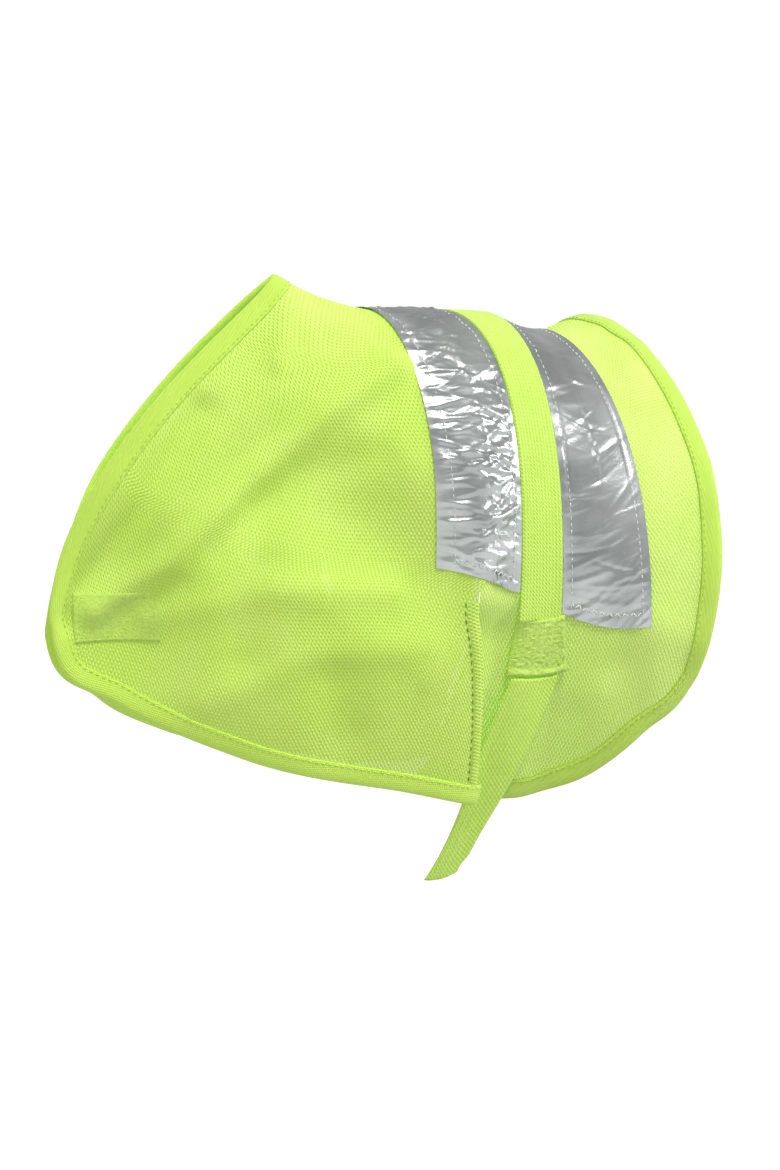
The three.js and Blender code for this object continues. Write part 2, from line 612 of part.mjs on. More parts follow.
// Hook and loop patches on the inner faces of the flaps' chest ends, where they meet, and their stitching.
const PATCH_CORNER = { x: CHEST_TIP[0] + 16, z: CHEST_TIP[2] - 14 };
sides.forEach(([word, side]) => {
  const place = (u, v) => flapPlace(u, v, side);
  const net = netOf(finer(FLAP_COLUMNS.slice(0, 13)), finer(finer(FLAP_ROWS)), place);
  const onFlap = (x, z, lift) => {
    const knot = net.reduce((best, other) => (Math.hypot(other.point.x - x, other.point.z - z)
      < Math.hypot(best.point.x - x, best.point.z - z) ? other : best));
    const { point, normal } = knot;
    const y = point.y - (normal.x * (x - point.x) + normal.z * (z - point.z)) / normal.y;
    return new THREE.Vector3(x, y, z).addScaledVector(normal, lift);
  };
  const across = range(PATCH_CORNER.x, PATCH_CORNER.x + CHEST_PATCH.length, 5);
  const up = range(PATCH_CORNER.z, PATCH_CORNER.z + CHEST_PATCH.height, 3);
  const inner = across.map((x) => up.map((z) => ({
    low: onFlap(x, z, -HALF - 0.35 - CHEST_PATCH.thick), high: onFlap(x, z, -HALF - 0.35),
  })));
  slab(side < 0 ? 'left_chest_hook_patch' : 'right_chest_loop_patch', inner, BAND_YELLOW);

  const inset = 2.5;
  const [x0, x1] = [PATCH_CORNER.x + inset, PATCH_CORNER.x + CHEST_PATCH.length - inset];
  const [z0, z1] = [PATCH_CORNER.z + inset, PATCH_CORNER.z + CHEST_PATCH.height - inset];
  const open = (from, to, count) => range(from, to, count).slice(0, -1);
  const corners = [
    ...open(x0, x1, 5).map((x) => [x, z0]), ...open(z0, z1, 3).map((z) => [x1, z]),
    ...open(x1, x0, 5).map((x) => [x, z1]), ...open(z1, z0, 3).map((z) => [x0, z]),
  ];
  const [xm, zm] = [(x0 + x1) / 2, (z0 + z1) / 2];
  const half = THREAD / 2;
  const lift = HALF + 0.6;
  const outline = [[-half, lift], [half, lift], [half, lift + THREAD], [-half, lift + THREAD]];
  const rings = corners.map(([x, z]) => outline.map(([aside, height]) => {
    const grow = 1 + aside / Math.max(Math.abs(x - xm) + Math.abs(z - zm), 8);
    return onFlap(xm + (x - xm) * grow, zm + (z - zm) * grow, height);
  }));
  tube(`${word}_chest_stitching`, rings, outline, true, THREAD_YELLOW);
});

export default group;
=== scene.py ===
# %% [markdown]
# # A dog's mesh safety vest
# This lesson builds the finished look of a fluorescent mesh vest for a dog: a knitted mesh saddle with
# bound edges, two silver reflective tapes, a webbing band, hook-and-loop pads and a belly strap.
# The frame gives the CAD parts and their joints. All finished pieces but those of the front halves ride on
# one of the frame's bodies.

# %% Load the frame
import math

import bpy
import numpy as np
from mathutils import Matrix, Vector
from mathutils.bvhtree import BVHTree


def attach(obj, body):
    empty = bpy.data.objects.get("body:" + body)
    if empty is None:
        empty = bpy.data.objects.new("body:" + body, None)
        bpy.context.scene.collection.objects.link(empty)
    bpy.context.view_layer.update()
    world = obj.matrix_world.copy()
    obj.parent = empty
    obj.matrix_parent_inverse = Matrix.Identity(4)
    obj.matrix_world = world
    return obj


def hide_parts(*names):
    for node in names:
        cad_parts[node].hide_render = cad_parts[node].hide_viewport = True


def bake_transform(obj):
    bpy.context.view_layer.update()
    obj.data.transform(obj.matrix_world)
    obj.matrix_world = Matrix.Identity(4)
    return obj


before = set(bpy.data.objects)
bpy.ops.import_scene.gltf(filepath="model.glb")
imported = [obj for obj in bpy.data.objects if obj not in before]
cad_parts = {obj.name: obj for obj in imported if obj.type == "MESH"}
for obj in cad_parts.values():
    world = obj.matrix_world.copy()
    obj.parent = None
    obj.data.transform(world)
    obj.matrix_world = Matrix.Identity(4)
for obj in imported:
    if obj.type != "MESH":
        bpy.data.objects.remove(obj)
bpy.ops.object.select_all(action="DESELECT")
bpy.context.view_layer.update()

# %% [markdown]
# ## Camera, floor and light
# The vest is looked at from its left side, a little from ahead and from above. A long lens three metres away
# keeps its edges almost parallel. The floor is a plain white sheet that glows, and the light comes from the
# sky and from large soft panels, as in a small studio.

# %% Camera
AIM = Vector((-0.048, 0.0, -0.137))
AZIMUTH, ELEVATION = math.radians(-30), math.radians(10)
DISTANCE = 3.0
FRAME_HEIGHT = 0.610
SENSOR = 0.036

toward = Vector((math.sin(AZIMUTH) * math.cos(ELEVATION), -math.cos(AZIMUTH) * math.cos(ELEVATION),
                 math.sin(ELEVATION)))
camera = bpy.data.objects.new("camera", bpy.data.cameras.new("camera"))
bpy.context.scene.collection.objects.link(camera)
camera.location = AIM + toward * DISTANCE
camera.rotation_euler = (-toward).to_track_quat("-Z", "Y").to_euler()
camera.data.sensor_fit = "VERTICAL"
camera.data.sensor_height = SENSOR * 1000
camera.data.lens = SENSOR * 1000 * DISTANCE / FRAME_HEIGHT
bpy.context.scene.camera = camera
print("lens", round(camera.data.lens), "mm")

# %% Floor and backdrop
FLOOR_Z = -0.47
bpy.ops.mesh.primitive_plane_add(size=80, location=(0, 0, FLOOR_Z))
floor = bpy.context.object
floor.name = "studio_floor"


# %% [markdown]
# ## Shader maths
# A material is easier to read as an expression than as a list of nodes, so one small class wraps a socket
# and adds a Math node for each operator. `Shader.node` makes any other node.

# %% A class for shader expressions
class Value:
    """A number on a shader socket. Operators on it add Math nodes."""

    def __init__(self, shader, socket):
        self.shader = shader
        self.socket = socket

    def math(self, operation, *others):
        inputs = {number: other for number, other in enumerate((self, *others))}
        return self.shader.node("ShaderNodeMath", {"operation": operation}, inputs)

    def swapped(self, operation, other):
        return self.shader.node("ShaderNodeMath", {"operation": operation}, {0: other, 1: self})

    def __add__(self, other):
        return self.math("ADD", other)

    def __radd__(self, other):
        return self.swapped("ADD", other)

    def __sub__(self, other):
        return self.math("SUBTRACT", other)

    def __rsub__(self, other):
        return self.swapped("SUBTRACT", other)

    def __mul__(self, other):
        return self.math("MULTIPLY", other)

    def __rmul__(self, other):
        return self.swapped("MULTIPLY", other)

    def step(self, low, high):
        """0 below low, 1 above high, smooth between."""
        settings = {"interpolation_type": "SMOOTHSTEP"}
        return self.shader.node("ShaderNodeMapRange", settings,
                                {"Value": self, "From Min": low, "From Max": high})


class Shader:
    """A material whose Principled shader is filled from expressions."""

    def __init__(self, name, **constants):
        self.material = bpy.data.materials.new(name)
        self.material.use_nodes = True
        self.tree = self.material.node_tree
        self.principled = self.tree.nodes["Principled BSDF"]
        for socket, value in constants.items():
            self.principled.inputs[socket.replace("_", " ")].default_value = value

    def put(self, socket, value):
        if isinstance(value, Value):
            self.tree.links.new(value.socket, socket)
        else:
            socket.default_value = value

    def node(self, kind, settings, inputs, output=0):
        made = self.tree.nodes.new(kind)
        for setting, value in settings.items():
            setattr(made, setting, value)
        for name, value in inputs.items():
            self.put(made.inputs[name], value)
        return Value(self, made.outputs[output])

    def mix(self, factor, first, second):
        made = self.tree.nodes.new("ShaderNodeMix")
        made.data_type = "RGBA"
        for socket, value in ((0, factor), (6, first), (7, second)):
            self.put(made.inputs[socket], value)
        return Value(self, made.outputs[2])

    def noise(self, vector, scale, detail=2.0, roughness=0.5):
        return self.node("ShaderNodeTexNoise", {}, {"Vector": vector, "Scale": scale, "Detail": detail,
                                                    "Roughness": roughness})

    def cloth_uv(self):
        """The piece's own flat coordinates, in metres, as two numbers."""
        vector = self.node("ShaderNodeUVMap", {"uv_map": "cloth"}, {})
        return [self.node("ShaderNodeSeparateXYZ", {}, {"Vector": vector}, output) for output in (0, 1)]

    def place(self):
        return self.node("ShaderNodeTexCoord", {}, {}, "Object")

    def bump(self, height, distance, strength=1.0):
        inputs = {"Height": height, "Distance": distance, "Strength": strength}
        bump = self.node("ShaderNodeBump", {}, inputs)
        self.put(self.principled.inputs["Normal"], bump)

    def feed(self, **sockets):
        for socket, value in sockets.items():
            self.put(self.principled.inputs[socket.replace("_", " ")], value)


def shade(red, green, blue):
    """A colour as it shows on a screen, 0 to 255, turned into light."""
    parts = [v / 255 for v in (red, green, blue)]
    return (*[((v + 0.055) / 1.055) ** 2.4 if v > 0.04 else v / 12.92 for v in parts], 1.0)


# %% Studio white and soft light
paper = Shader("studio_white", Roughness=0.9)
paper.feed(Base_Color=(0.25, 0.25, 0.25, 1.0), Emission_Color=(1.0, 1.0, 1.0, 1.0))
paper.principled.inputs["Emission Strength"].default_value = 0.88
floor.data.materials.append(paper.material)
floor.visible_diffuse = False

SKY_SEEN, SKY_LIGHT = 1.0, 0.44
world = bpy.data.worlds.new("studio")
bpy.context.scene.world = world
world.use_nodes = True
sky = world.node_tree
glow = sky.nodes["Background"]
glow.inputs["Color"].default_value = (1.0, 1.0, 1.0, 1.0)
path = sky.nodes.new("ShaderNodeLightPath")
amount = sky.nodes.new("ShaderNodeMapRange")
amount.inputs["To Min"].default_value = SKY_LIGHT
amount.inputs["To Max"].default_value = SKY_SEEN
sky.links.new(path.outputs["Is Camera Ray"], amount.inputs["Value"])
sky.links.new(amount.outputs["Result"], glow.inputs["Strength"])


def soft_panel(name, place, size, power):
    panel = bpy.data.objects.new(name, bpy.data.lights.new(name, "AREA"))
    panel.data.size = size
    panel.data.energy = power
    panel.location = place
    panel.rotation_euler = (AIM - Vector(place)).to_track_quat("-Z", "Y").to_euler()
    bpy.context.scene.collection.objects.link(panel)


soft_panel("light_key", (0.1, -1.1, 1.9), 0.7, 34)
soft_panel("light_head", (-2.0, -0.9, 0.8), 0.6, 4)
soft_panel("light_tail", (1.7, -1.0, 0.4), 0.6, 13)
soft_panel("light_far_side", (0.2, 1.8, 1.4), 1.0, 12)
bpy.context.scene.view_settings.view_transform = "Standard"
print("studio ready")

# %% [markdown]
# ## The shape of the worn cloth
# Worn cloth takes its shape from the animal under it. Here that shape is a set of sections across the back,
# each a cubic curve from the spine to the hem, with smooth change from one to the next. A place on the cloth
# is `(s, g)`: s in millimetres along the back from the middle of the band, g down the side, from -1 at the
# left hem over 0 on the spine to 1 at the right hem. Where both sides are alike, f is g without its sign.
# Every layer of the vest is laid on this one surface, a little above or below it, in its own order.

# %% Sections across the back
BAND_EDGE = 12.5
TAPE_WIDTH = 50.0
TAPE_EDGE = BAND_EDGE + TAPE_WIDTH
BINDING_WIDTH = 10.0
NECK_HEM, REAR_HEM = -120.0, 107.5
FOLD_NECK, FOLD_SLIT = 0.45, 0.615
SLIT_TOP, SLIT_HEM = -47.0, -26.0
MM = 0.001
# Station, spine point, shoulder handle, flank handle, hem point, and how far the far side is raised.
SECTIONS = (
    (-120, (-117, 0, 29), (-125, -9, 16), (-240, -12, -42), (-248, -3, -136), 0),
    (-117, (-115, 0, 28), (-124, -14, 17), (-232, -22, -70), (-244, -4, -156), 0),
    (-108, (-107, 0, 24), (-119, -26, 22), (-198, -38, -112), (-214, -17, -181), 0),
    (-92, (-92, 0, 17), (-98, -46, 16), (-160, -68, -140), (-160, -40, -209), 0),
    (-62.5, (-62.5, 0, 8), (-62.5, -68, 8), (-62.5, -102, -100), (-72, -60, -233), 0),
    (-12.5, (-12.5, 0, 3), (-12.5, -66, 3), (-12.5, -99, -80), (-20, -58, -244), 0),
    (12.5, (12.5, 0, 0), (12.5, -60, -2), (12.5, -95, -80), (11, -58, -242), 0),
    (37.5, (36, 6, -9), (36, -54, -11), (33, -108, -92), (34, -72, -230), 3),
    (62.5, (58, 12, -13), (58, -56, -14), (52, -118, -100), (53, -86, -212), 6),
    (90, (85, 17, -12), (85, -58, -13), (75, -124, -100), (73, -90, -196), 10),
    (107.5, (101, 20, -11), (101, -56, -12), (97, -129, -98), (82, -93, -182), 14),
)
STATIONS = np.array([row[0] for row in SECTIONS], float)
KNOTS = np.array([[*row[1], *row[2], *row[3], *row[4], row[5]] for row in SECTIONS], float)


def smooth(x):
    t = np.clip(x, 0, 1)
    return t * t * (3 - 2 * t)


# %% From (s, g) to a point
STEPS = np.diff(STATIONS)
RATES = np.diff(KNOTS, axis=0) / STEPS[:, None]
SLOPES = np.vstack([
    RATES[:1],
    (RATES[:-1] * STEPS[1:, None] + RATES[1:] * STEPS[:-1, None]) / (STEPS[1:] + STEPS[:-1])[:, None],
    RATES[-1:],
])
SAMPLES = 48
PLACES = np.linspace(0, 1, SAMPLES + 1)


def section_values(s):
    i = np.clip(np.searchsorted(STATIONS, s, side="right") - 1, 0, len(STATIONS) - 2)
    span = STEPS[i][:, None]
    t = ((s - STATIONS[i]) / STEPS[i])[:, None]
    return ((2 * t**3 - 3 * t**2 + 1) * KNOTS[i] + (t**3 - 2 * t**2 + t) * SLOPES[i] * span
            + (3 * t**2 - 2 * t**3) * KNOTS[i + 1] + (t**3 - t**2) * SLOPES[i + 1] * span)


def bezier(handles, t):
    """Points of cubic curves: handles is (n, 4, 3), t is (n, m)."""
    t = t[..., None]
    a, b, c, e = (handles[:, k, None, :] for k in range(4))
    return (1 - t)**3 * a + 3 * (1 - t)**2 * t * b + 3 * (1 - t) * t**2 * c + t**3 * e


def section_points(s, g):
    side = np.where(g > 0, 1.0, -1.0)
    values = section_values(s)
    handles = values[:, :12].reshape(-1, 4, 3).copy()
    spine_y = handles[:, :1, 1]
    handles[:, :, 1] = np.where(side[:, None] > 0, 2 * spine_y - handles[:, :, 1], handles[:, :, 1])
    handles[:, 1, 2] += side * values[:, 12]
    curve = bezier(handles, np.tile(PLACES, (len(s), 1)))
    lengths = np.cumsum(np.linalg.norm(np.diff(curve, axis=1), axis=2), axis=1)
    lengths = np.hstack([np.zeros((len(s), 1)), lengths])
    target = np.abs(g) * lengths[:, -1]
    n = np.clip((lengths < target[:, None]).sum(1), 1, SAMPLES)
    rows = np.arange(len(s))
    before, after = lengths[rows, n - 1], lengths[rows, n]
    share = np.clip((target - before) / (after - before), 0, 1)
    points = bezier(handles, ((n - 1 + share) / SAMPLES)[:, None])[:, 0]
    end = handles[:, 3] - handles[:, 2]
    end /= np.linalg.norm(end, axis=1)[:, None]
    return points + end * np.maximum(target - lengths[:, -1], 0)[:, None]


# %% [markdown]
# At the chest the two flaps are pressed together by their hook-and-loop patches, so both sides draw in to
# the middle there. Each flap folds back along a straight line from the neck hem to the top of the slit, so
# the cloth is made straight along that line.

# %% Pinched chest and straight fold lines
CHEST_TIP = (-250.0, -136.0)
PINCH_FROM, PINCH_OVER, PINCH_APART = 22.0, 62.0, 3.2
FLATTEN = 0.2


def pinched(s, g):
    points = section_points(s, g)
    away = np.hypot(points[:, 0] - CHEST_TIP[0], points[:, 2] - CHEST_TIP[1])
    free = smooth((away - PINCH_FROM) / PINCH_OVER)
    points[:, 1] = points[:, 1] * free + np.where(g > 0, 1, -1) * PINCH_APART * (1 - free)
    return points


FOLD_START, FOLD_END = pinched(np.array([NECK_HEM, SLIT_TOP]), np.array([-FOLD_NECK, -FOLD_SLIT]))
FOLD_AXIS = (FOLD_END - FOLD_START) / np.linalg.norm(FOLD_END - FOLD_START)


def from_fold(points):
    reach = points - FOLD_START
    return reach - (reach @ FOLD_AXIS)[:, None] * FOLD_AXIS


FOLD_COLUMNS = np.linspace(NECK_HEM, SLIT_TOP, 74)
tries = np.linspace(0.36, 0.72, 361)
FOLD_SHARES, FOLD_OFFS = [], []
for column in FOLD_COLUMNS:
    offs = from_fold(pinched(np.full(len(tries), column), -tries))
    nearest = np.argmin(np.linalg.norm(offs, axis=1))
    FOLD_SHARES.append(tries[nearest])
    FOLD_OFFS.append(offs[nearest])
FOLD_OFFS = np.array(FOLD_OFFS)


def fold_share(s):
    return np.interp(s, FOLD_COLUMNS, FOLD_SHARES)


def cloth_points(s, g):
    s, g = np.broadcast_arrays(np.asarray(s, float), np.asarray(g, float))
    points = pinched(s.ravel(), g.ravel()).reshape(*s.shape, 3)
    share = 1 - smooth(np.abs(np.abs(g) - fold_share(s)) / FLATTEN)
    share = np.where(s < SLIT_TOP, share, 0)
    for axis in range(3):
        turn = np.where(g > 0, -1, 1) if axis == 1 else 1
        points[..., axis] -= np.interp(s, FOLD_COLUMNS, FOLD_OFFS[:, axis]) * share * turn
    return points


def cloth_normals(s, g):
    s, g = np.broadcast_arrays(np.asarray(s, float), np.asarray(g, float))
    along = cloth_points(s + 0.6, g) - cloth_points(s - 0.6, g)
    down = cloth_points(s, g + 0.004) - cloth_points(s, g - 0.004)
    normals = np.cross(along, down)
    return normals / np.maximum(np.linalg.norm(normals, axis=-1, keepdims=True), 1e-9)


print("fold line", FOLD_START.round(1), "to", FOLD_END.round(1))

# %% [markdown]
# ## Laying cloth on the shape
# A worn sheet is a grid of points on the shape above, lifted by its own thickness and by the folds it has
# fallen into. A simulation would drop the cloth on a body that isn't there, so each fold is given one by
# one:
# a soft ridge or hollow along a short run of places. The cloth's own coordinates are measured along the
# grid in metres, so that a knit or weave keeps its true size wherever the piece bends.

# %% Helpers: folds, sheets and settling on them
def fold_lift(points, folds, side):
    """Millimetres of lift at each point from folds given as (height, width, (s, f), (s, f), ...)."""
    lift = np.zeros(points.shape[:-1])
    for height, width, *run in folds:
        knots = cloth_points([place[0] for place in run], [side * place[1] for place in run])
        least = np.full(lift.shape, np.inf)
        for a, b in zip(knots[:-1], knots[1:]):
            share = np.clip(((points - a) @ (b - a)) / ((b - a) @ (b - a)), 0, 1)
            away = np.linalg.norm(points - a - share[..., None] * (b - a), axis=-1)
            least = np.minimum(least, away)
        lift += height * np.exp(-((least / width) ** 2))
    return lift


def grid_piece(name, points, material, thick=0.0):
    """A mesh over a grid of points in millimetres, with its cloth coordinates in metres."""
    rows, columns = points.shape[:2]
    ids = np.arange(rows * columns).reshape(rows, columns)
    faces = np.stack([ids[:-1, :-1], ids[1:, :-1], ids[1:, 1:], ids[:-1, 1:]], axis=-1).reshape(-1, 4)
    mesh = bpy.data.meshes.new(name)
    mesh.from_pydata((points.reshape(-1, 3) * MM).tolist(), [], faces.tolist())
    along = np.linalg.norm(np.diff(points, axis=0), axis=-1).cumsum(axis=0)
    down = np.linalg.norm(np.diff(points, axis=1), axis=-1).cumsum(axis=1)
    along = np.vstack([np.zeros((1, columns)), along])
    down = np.hstack([np.zeros((rows, 1)), down])
    spine = columns // 2
    flat = np.stack([along - along[-1], down - down[:, spine:spine + 1]], axis=-1).reshape(-1, 2)
    layer = mesh.uv_layers.new(name="cloth")
    layer.data.foreach_set("uv", (flat[faces.ravel()] * MM).ravel())
    piece = bpy.data.objects.new(name, mesh)
    bpy.context.scene.collection.objects.link(piece)
    piece.data.materials.append(material)
    mesh.shade_smooth()
    if thick:
        with_thickness(piece, thick)
    return piece


def apply(piece, modifier):
    bpy.ops.object.select_all(action="DESELECT")
    bpy.context.view_layer.objects.active = piece
    piece.select_set(True)
    bpy.ops.object.modifier_apply(modifier=modifier.name)
    piece.select_set(False)


def with_thickness(piece, thick):
    solid = piece.modifiers.new("thickness", "SOLIDIFY")
    solid.thickness = thick * MM
    solid.offset = -1.0
    apply(piece, solid)


class Bed:
    """A surface that bindings, patches and stitches settle on."""

    def __init__(self, piece):
        mesh = piece.data
        points = [vertex.co / MM for vertex in mesh.vertices]
        self.faces = [tuple(polygon.vertices) for polygon in mesh.polygons]
        self.tree = BVHTree.FromPolygons(points, self.faces)
        self.normals = [vertex.normal.copy() for vertex in mesh.vertices]

    def settle(self, target):
        where, _, face, _ = self.tree.find_nearest(Vector(target))
        normal = Vector()
        for corner in self.faces[face]:
            normal += self.normals[corner]
        return where, normal.normalized()

    def above(self, target, lift):
        """The target moved straight over the surface to the given height."""
        where, normal = self.settle(target)
        target = Vector(target)
        return target + normal * (lift - (target - where).dot(normal))


def polyline(points, step):
    """The points of a path walked in even steps."""
    points = [Vector(p) for p in points]
    lengths = np.concatenate([[0], np.cumsum([(b - a).length for a, b in zip(points[:-1], points[1:])])])
    count = max(2, round(lengths[-1] / step))
    walked = []
    for reach in np.linspace(0, lengths[-1], count + 1):
        n = min(len(points) - 2, max(0, int(np.searchsorted(lengths, reach, side="right")) - 1))
        share = (reach - lengths[n]) / max(lengths[n + 1] - lengths[n], 1e-6)
        walked.append(points[n].lerp(points[n + 1], share))
    return walked


def directions(path):
    return [(path[min(n + 1, len(path) - 1)] - path[max(n - 1, 0)]).normalized() for n in range(len(path))]


# %% Helper: a binding folded round an edge
EDGE_STEP = 2.5


def inward_sides(path, bed):
    """For each step of an edge, the way into the cloth, on one side all along."""
    ways = []
    lean = 0.0
    for point, way in zip(path, directions(path)):
        inward = bed.settle(point)[1].cross(way).normalized()
        ways.append(inward)
        for sign in (1, -1):
            target = point + inward * 8 * sign
            lean -= sign * (bed.settle(target)[0] - target).length
    return [way * (1 if lean > 0 else -1) for way in ways]


def swept(name, path, ways, bed, outline, material, closed_outline=True):
    """A strip of the given outline, (inward, lift) in millimetres, swept along an edge on its bed."""
    rings = [[bed.above(point + way * inward, lift) for inward, lift in outline]
             for point, way in zip(path, ways)]
    points = np.array([[list(p) for p in ring] for ring in rings])
    if closed_outline:
        points = np.concatenate([points, points[:, :1]], axis=1)
    piece = grid_piece(name, points, material)
    if closed_outline:
        bpy.ops.object.select_all(action="DESELECT")
        bpy.context.view_layer.objects.active = piece
        piece.select_set(True)
        bpy.ops.object.mode_set(mode="EDIT")
        bpy.ops.mesh.select_all(action="SELECT")
        bpy.ops.mesh.remove_doubles(threshold=1e-6)
        bpy.ops.mesh.fill_holes(sides=len(outline))
        bpy.ops.mesh.select_all(action="SELECT")
        bpy.ops.mesh.normals_make_consistent(inside=False)
        bpy.ops.object.mode_set(mode="OBJECT")
        piece.data.shade_smooth()
        piece.select_set(False)
    return piece


BINDING_OUTLINE = (
    (BINDING_WIDTH, 0.4), (BINDING_WIDTH - 0.6, 0.85), (BINDING_WIDTH - 1.8, 0.75), (BINDING_WIDTH / 2, 1.3),
    (1.5, 1.4), (-0.2, 1.0), (-0.9, 0), (-0.2, -1.0), (1.5, -1.4), (BINDING_WIDTH - 1, -0.9),
    (BINDING_WIDTH, -0.5), (BINDING_WIDTH - 1, -0.4), (1.5, -0.8), (-0.1, 0), (1.5, 0.8),
    (BINDING_WIDTH - 1, 0.3),
)


# %% Helper: rows of stitches
# Along one stitch: how far, how thick, and how deep its ends go into the cloth.
STITCH_RINGS = ((0.0, 0.35, 0.45), (0.25, 1.0, 0.0), (0.75, 1.0, 0.0), (1.0, 0.35, 0.45))


def stitches(name, runs, material, length=2.6, gap=1.0, wide=0.55, zigzag=0.0):
    """Short rounded threads along runs of (path, bed, lift). zigzag swings them from side to side."""
    verts, faces = [], []
    around, pitch = 6, length + gap
    for path, bed, lift in runs:
        path = polyline(path, pitch)
        for n, (a, b) in enumerate(zip(path[:-1], path[1:])):
            where, normal = bed.settle(a.lerp(b, 0.5))
            across = normal.cross((b - a).normalized()).normalized() * zigzag * (1 if n % 2 else -1)
            start = bed.above(a - across, lift)
            end = bed.above(a.lerp(b, 1 if zigzag else length / pitch) + across, lift)
            way = (end - start).normalized()
            side = normal.cross(way).normalized()
            first = len(verts)
            for share, size, sunk in STITCH_RINGS:
                centre = start.lerp(end, share) - normal * sunk
                for k in range(around):
                    turn = 2 * math.pi * k / around
                    offset = side * math.cos(turn) * wide / 2 + normal * math.sin(turn) * wide / 2.4
                    verts.append((centre + offset * size) * MM)
            for ring in range(3):
                for k in range(around):
                    here, there = first + ring * around, first + (ring + 1) * around
                    faces.append((here + k, here + (k + 1) % around, there + (k + 1) % around, there + k))
            faces.append(tuple(first + k for k in reversed(range(around))))
            faces.append(tuple(first + 3 * around + k for k in range(around)))
    mesh = bpy.data.meshes.new(name)
    mesh.from_pydata(verts, [], faces)
    mesh.shade_smooth()
    piece = bpy.data.objects.new(name, mesh)
    bpy.context.scene.collection.objects.link(piece)
    piece.data.materials.append(material)
    print(name, len(faces), "faces")
    return piece


# %% [markdown]
# ## Finishes
# The knit is an open polyester mesh with a hole every two millimetres. Real holes would need millions of
# faces, so they are cut by the material's alpha, laid out on the cloth's own coordinates. Fluorescent dye
# gives back more light than it gets, which a little emission of the same colour stands for.

# %% Open mesh
MESH_PITCH = 0.002


def knit(name, open_share):
    cloth = Shader(name, Roughness=0.75)
    cloth.principled.inputs["Specular IOR Level"].default_value = 0.25
    cloth.principled.inputs["Emission Strength"].default_value = 0.15
    u, v = cloth.cloth_uv()
    wave = 2 * math.pi / MESH_PITCH
    across = (u * wave).math("SINE") * (v * (wave * 0.5)).math("COSINE")
    down = (u * (wave * 0.5)).math("COSINE") * (v * wave).math("SINE")
    web = ((u + v * 0.5) * wave).math("COSINE") + ((u - v * 0.5) * wave).math("COSINE")
    hole = (web * 0.25 + 0.5).step(0.7, 0.9)
    patches = cloth.noise(cloth.place(), 24.0, 3.0)
    # The third colour is the mesh in shade, painted into the holes below as painted shade.
    warm, cool, hole_shade = shade(212, 240, 120), shade(202, 234, 104), shade(172, 208, 78)
    colour = cloth.mix(patches.step(0.35, 0.7), cool, warm)
    # Painted shade: the holes take the mesh's colour in shade, for the darkness seen through them.
    colour = cloth.mix(hole * 0.7, colour, hole_shade)
    cloth.feed(Base_Color=colour, Emission_Color=shade(196, 240, 70), Alpha=1.0 - hole * open_share)
    cloth.bump(web * 0.5 + across * 0.2 + down * 0.2, 0.0006, 0.5)
    return cloth.material


open_mesh = knit("open_mesh", 0.32)
doubled_mesh = knit("doubled_mesh", 0.18)

# %% [markdown]
# Binding and webbing are woven tight. Binding has fine ribs across it, and webbing has coarser ribs along
# it. Each is a straight sine wave and a slanting one on the cloth's coordinates, joined into a height for
# a Bump node. The same height also colours the cloth: painted shade in the grooves between the ribs and a
# painted highlight on their tops.

# %% Binding and webbing
def woven(name, rib, slant, light, dark, glow, relief):
    cloth = Shader(name, Roughness=0.68)
    cloth.principled.inputs["Sheen Weight"].default_value = 0.15
    cloth.principled.inputs["Emission Strength"].default_value = glow
    u, v = cloth.cloth_uv()
    wave = 2 * math.pi / rib
    ribs = (u * wave).math("SINE") * 0.6 + ((u * slant + v) * wave).math("SINE") * 0.4
    height = ribs * 0.5 + 0.5
    worn = cloth.noise(cloth.place(), 60.0, 4.0)
    # Painted shade and highlight: the rib grooves are coloured darker and the rib tops lighter.
    colour = cloth.mix(height.step(0.1, 0.8), dark, light)
    colour = cloth.mix(worn.step(0.45, 0.75) * 0.35, colour, dark)
    cloth.feed(Base_Color=colour, Emission_Color=light, Roughness=0.6 + worn * 0.2)
    cloth.bump(height, relief)
    return cloth.material


edge_weave = woven("edge_weave", 0.0011, 0.15, shade(208, 244, 96), shade(190, 230, 74), 0.16, 0.0003)
webbing_weave = woven("webbing_weave", 0.0021, 0.9, shade(204, 240, 100), shade(180, 220, 74), 0.14, 0.0005)


# %% [markdown]
# Reflective tape is a silver film of tiny glass beads on cloth. It scatters light in a broad grey sheen,
# and each crease throws a narrow glint, so the film is metallic with a middling roughness and fine bumps.

# %% Silver film, nap and threads
film = Shader("silver_film", Metallic=0.82)
patches = film.noise(film.place(), 34.0, 4.0)
beads = film.noise(film.place(), 900.0, 2.0)
dull_silver, bright_silver = shade(164, 169, 168), shade(196, 200, 199)
film_colour = film.mix(patches.step(0.3, 0.7), dull_silver, bright_silver)
reflection = film.noise(film.place(), 11.0, 1.0).step(0.55, 0.75)
film_colour = film.mix(reflection * 0.3, film_colour, shade(176, 200, 160))
film.feed(Base_Color=film_colour, Roughness=0.24 + patches * 0.14)
film.bump(beads, 0.0002, 0.35)
silver_film = film.material

nap = Shader("looped_nap", Roughness=0.95)
nap.principled.inputs["Sheen Weight"].default_value = 0.5
nap.principled.inputs["Emission Strength"].default_value = 0.14
tufts = nap.noise(nap.place(), 700.0, 4.0, 0.7)
nap.feed(Base_Color=nap.mix(tufts.step(0.35, 0.65), shade(190, 228, 88), shade(214, 244, 120)),
         Emission_Color=shade(196, 238, 70))
nap.bump(tufts, 0.0012)
looped_nap = nap.material


def thread(name, light, dark):
    made = Shader(name, Roughness=0.6)
    twist = made.noise(made.place(), 1500.0, 1.0)
    made.feed(Base_Color=made.mix(twist.step(0.4, 0.6), dark, light))
    return made.material


pale_thread = thread("pale_thread", shade(240, 243, 238), shade(206, 210, 204))
yellow_thread = thread("yellow_thread", shade(214, 240, 96), shade(176, 214, 62))
